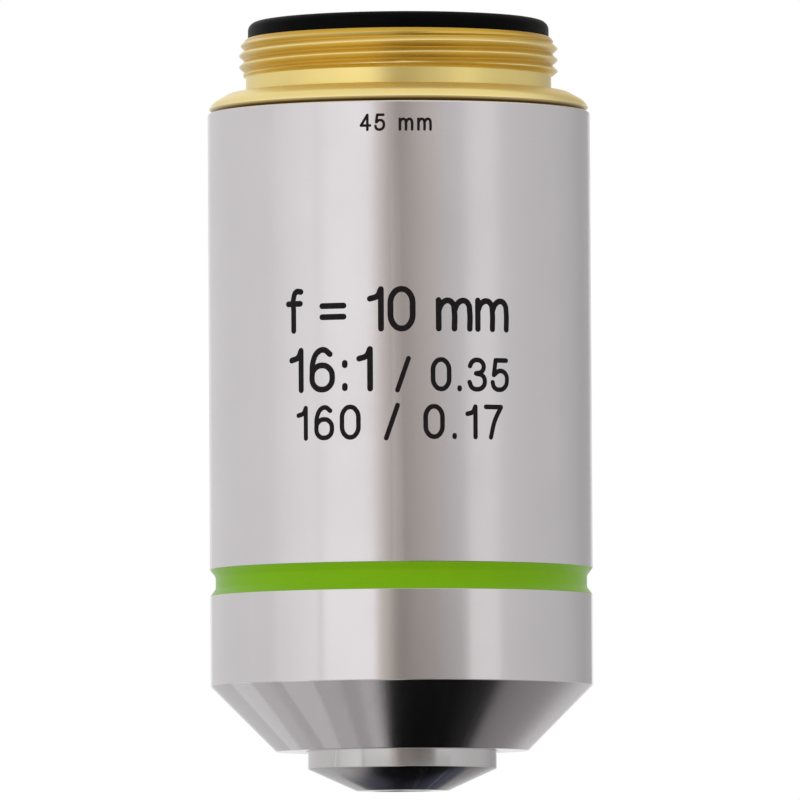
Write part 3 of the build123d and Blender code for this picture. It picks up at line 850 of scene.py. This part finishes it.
def reflection_card(name, width, length, place, stops, tint=(1, 1, 1), fade=None):
    """A card that only reflections see. Its stops give a place across its width, a grey and an opacity.

    Along its length it stays opaque up to the first place in fade and is clear from the second one on.
    """
    card = stage_sheet(name, width, length, place)
    finish = bpy.data.materials.new(name)
    finish.use_nodes = True
    tree = finish.node_tree
    tree.nodes.clear()
    place_on_card = add_node(tree, "ShaderNodeTexCoord").outputs["Object"]
    across = add_node(tree, "ShaderNodeSeparateXYZ", Vector=place_on_card)
    share = spread(tree, across.outputs["X"], 0.0, 1.0, -width / 2, width / 2)
    ramp = add_node(tree, "ShaderNodeValToRGB", Fac=share)
    while len(ramp.color_ramp.elements) < len(stops):
        ramp.color_ramp.elements.new(0.5)
    for element, (across_card, grey, opacity) in zip(ramp.color_ramp.elements, stops):
        element.position = across_card / width + 0.5
        element.color = (*(grey * share_of_tint for share_of_tint in tint), opacity)
    opacity = ramp.outputs["Alpha"]
    if fade:
        kept = spread(tree, across.outputs["Y"], 1.0, 0.0, *fade)
        opacity = add_node(tree, "ShaderNodeMath", {"operation": "MULTIPLY"}, i0=opacity, i1=kept).outputs[0]
    glow = add_node(tree, "ShaderNodeEmission", Color=ramp.outputs["Color"], Strength=1.0)
    clear = add_node(tree, "ShaderNodeBsdfTransparent")
    mix = add_node(tree, "ShaderNodeMixShader", i0=opacity, i1=clear.outputs[0], i2=glow.outputs[0])
    add_node(tree, "ShaderNodeOutputMaterial", Surface=mix.outputs[0])
    card.data.materials.append(finish)
    card.visible_camera = False
    card.visible_diffuse = False
    card.visible_shadow = False
    card.visible_transmission = False


def upright(x, y, z, turn):
    """Stands a sheet up at a place, with its width along the direction of turn, in degrees from +X."""
    return (
        Matrix.Translation((x, y, z))
        @ Matrix.Rotation(radians(turn), 4, "Z")
        @ Matrix.Rotation(radians(90), 4, "X")
    )


def lying(x, y, z, turn):
    """Lays a sheet down at a place, turned about the vertical."""
    return Matrix.Translation((x, y, z)) @ Matrix.Rotation(radians(turn), 4, "Z")


WARM = (1.0, 0.93, 0.855)
CREAM = (1.0, 0.92, 0.78)
NAVY = (0.80, 0.84, 1.15)
TABLE_TINT = (1.0, 0.965, 0.99)
TABLE_TURN = 10
TABLE_LENGTH = 2.0
TABLE_PLACE = lying(0.018, 0.40, -0.40, turn=TABLE_TURN)
WALL_HEIGHT = 1.6
WALL_MIDDLE = 0.2

# The room behind the camera, darkest where the camera stands, and low furniture to its right
reflection_card(
    "room", 1.80, WALL_HEIGHT, upright(0.40, -1.6, WALL_MIDDLE, turn=0),
    [(-0.80, 0.92, 0.0), (-0.77, 0.88, 1.0), (-0.62, 0.80, 1.0), (-0.50, 0.50, 1.0), (-0.40, 0.42, 1.0),
     (-0.30, 0.52, 1.0), (-0.20, 0.68, 1.0), (0.0, 0.88, 1.0), (0.20, 0.98, 1.0), (0.30, 1.0, 0.0)],
    tint=WARM,
)
reflection_card(
    "low_furniture", 2.00, 0.475, upright(0.40, -1.55, -0.1625, turn=0),
    [(-0.80, 0.23, 0.0), (-0.64, 0.23, 0.34), (-0.43, 0.23, 0.46), (-0.23, 0.23, 0.80), (-0.02, 0.23, 0.95),
     (0.20, 0.23, 1.0), (0.45, 0.23, 0.90), (0.74, 0.23, 0.80), (0.95, 0.23, 0.40), (1.0, 0.23, 0.0)],
    tint=WARM,
    fade=(0.2075, 0.2375),
)
# The grey side wall on the right, darker towards the back
reflection_card(
    "side_wall", 3.60, WALL_HEIGHT, upright(1.15, 0.9, WALL_MIDDLE, turn=102),
    [(-1.80, 0.90, 0.0), (-1.70, 0.84, 1.0), (-1.0, 0.76, 1.0), (-0.54, 0.735, 1.0), (-0.2, 0.67, 1.0),
     (0.4, 0.52, 1.0), (1.5, 0.50, 1.0), (1.80, 0.50, 1.0)],
)
# The wall and ceiling over it, which the brass slope shows on its right
reflection_card(
    "ceiling_corner", 1.80, 2.2, upright(0.65, 1.6, 1.4, turn=0),
    [(-0.90, 0.90, 0.0), (-0.45, 0.80, 1.0), (-0.10, 0.62, 1.0), (0.90, 0.52, 1.0)],
    tint=CREAM,
)
# The left wall, only a little darker than white, and the glow on it beside the softbox
reflection_card(
    "left_wall", 3.60, WALL_HEIGHT, upright(-1.3, 1.4, WALL_MIDDLE, turn=80),
    [(-1.80, 0.93, 0.0), (-1.60, 0.92, 1.0), (0.6, 0.86, 1.0), (1.80, 0.74, 1.0)],
)
reflection_card(
    "softbox_glow", 0.81, WALL_HEIGHT, upright(-1.19, -0.49, WALL_MIDDLE, turn=112.5),
    [(-0.405, 1.15, 0.0), (-0.36, 1.14, 1.0), (0.0, 1.06, 1.0), (0.30, 0.98, 1.0), (0.405, 0.95, 0.0)],
)
# The table, grey to both sides of a black slot that runs back from the camera and ends behind the object
reflection_card(
    "table_left", 0.92, TABLE_LENGTH, TABLE_PLACE,
    [(-0.46, 0.72, 0.0), (-0.39, 0.68, 0.6), (-0.335, 0.60, 1.0), (-0.30, 0.44, 1.0), (-0.20, 0.46, 1.0),
     (-0.14, 0.54, 1.0), (-0.10, 0.54, 1.0), (-0.08, 0.54, 0.0)],
    tint=TABLE_TINT,
    fade=(-0.12, 0.17),
)
reflection_card(
    "table_right", 1.20, TABLE_LENGTH, TABLE_PLACE,
    [(0.08, 0.22, 0.0), (0.11, 0.23, 1.0), (0.14, 0.24, 1.0), (0.2137, 0.31, 1.0), (0.3125, 0.36, 1.0),
     (0.42, 0.60, 1.0), (0.60, 0.75, 0.0)],
    tint=TABLE_TINT,
    fade=(-0.15, 0.90),
)
reflection_card(
    "slot", 0.30, TABLE_LENGTH, lying(0.018, 0.40, -0.398, turn=TABLE_TURN),
    [(-0.150, 0.02, 0.0), (-0.118, 0.004, 1.0), (0.02, 0.004, 1.0), (0.075, 0.018, 1.0), (0.116, 0.030, 1.0),
     (0.148, 0.12, 0.0)],
    fade=(0.18, 0.30),
)
reflection_card(
    "slot_floor", 0.26, 0.42, lying(0, 0.50, -0.395, turn=TABLE_TURN),
    [(-0.13, 0.10, 0.0), (-0.118, 0.09, 1.0), (-0.09, 0.095, 1.0), (-0.069, 0.065, 1.0), (-0.044, 0.022, 1.0),
     (0.015, 0.055, 1.0), (0.089, 0.115, 1.0), (0.11, 0.14, 1.0), (0.13, 0.20, 0.0)],
    tint=NAVY,
    fade=(0.08, 0.18),
)

OBJECT_MIDDLE = Vector((0, 0, -0.02))


def softbox(name, place, width, height, watts):
    """A large soft lamp that faces the object's middle."""
    lamp_data = bpy.data.lights.new(name, "AREA")
    lamp_data.shape = "RECTANGLE"
    lamp_data.size, lamp_data.size_y = width, height
    lamp_data.energy = watts
    lamp = bpy.data.objects.new(name, lamp_data)
    bpy.context.scene.collection.objects.link(lamp)
    place = Vector(place)
    towards = (OBJECT_MIDDLE - place).to_track_quat("-Z", "Y").to_matrix().to_4x4()
    lamp.matrix_world = Matrix.Translation(place) @ towards
    lamp.visible_camera = False
    return lamp


softbox("left_softbox", (-0.687, -1.121, 0.10), width=0.76, height=1.1, watts=0.62)
softbox("right_softbox", (1.20, -0.95, 0.10), width=0.40, height=1.1, watts=0.04)
left_fill = softbox("left_fill", (-1.1, -0.8, 0.5), width=1.0, height=1.0, watts=2.8)
left_fill.visible_glossy = False

bpy.context.scene.view_settings.view_transform = "Standard"
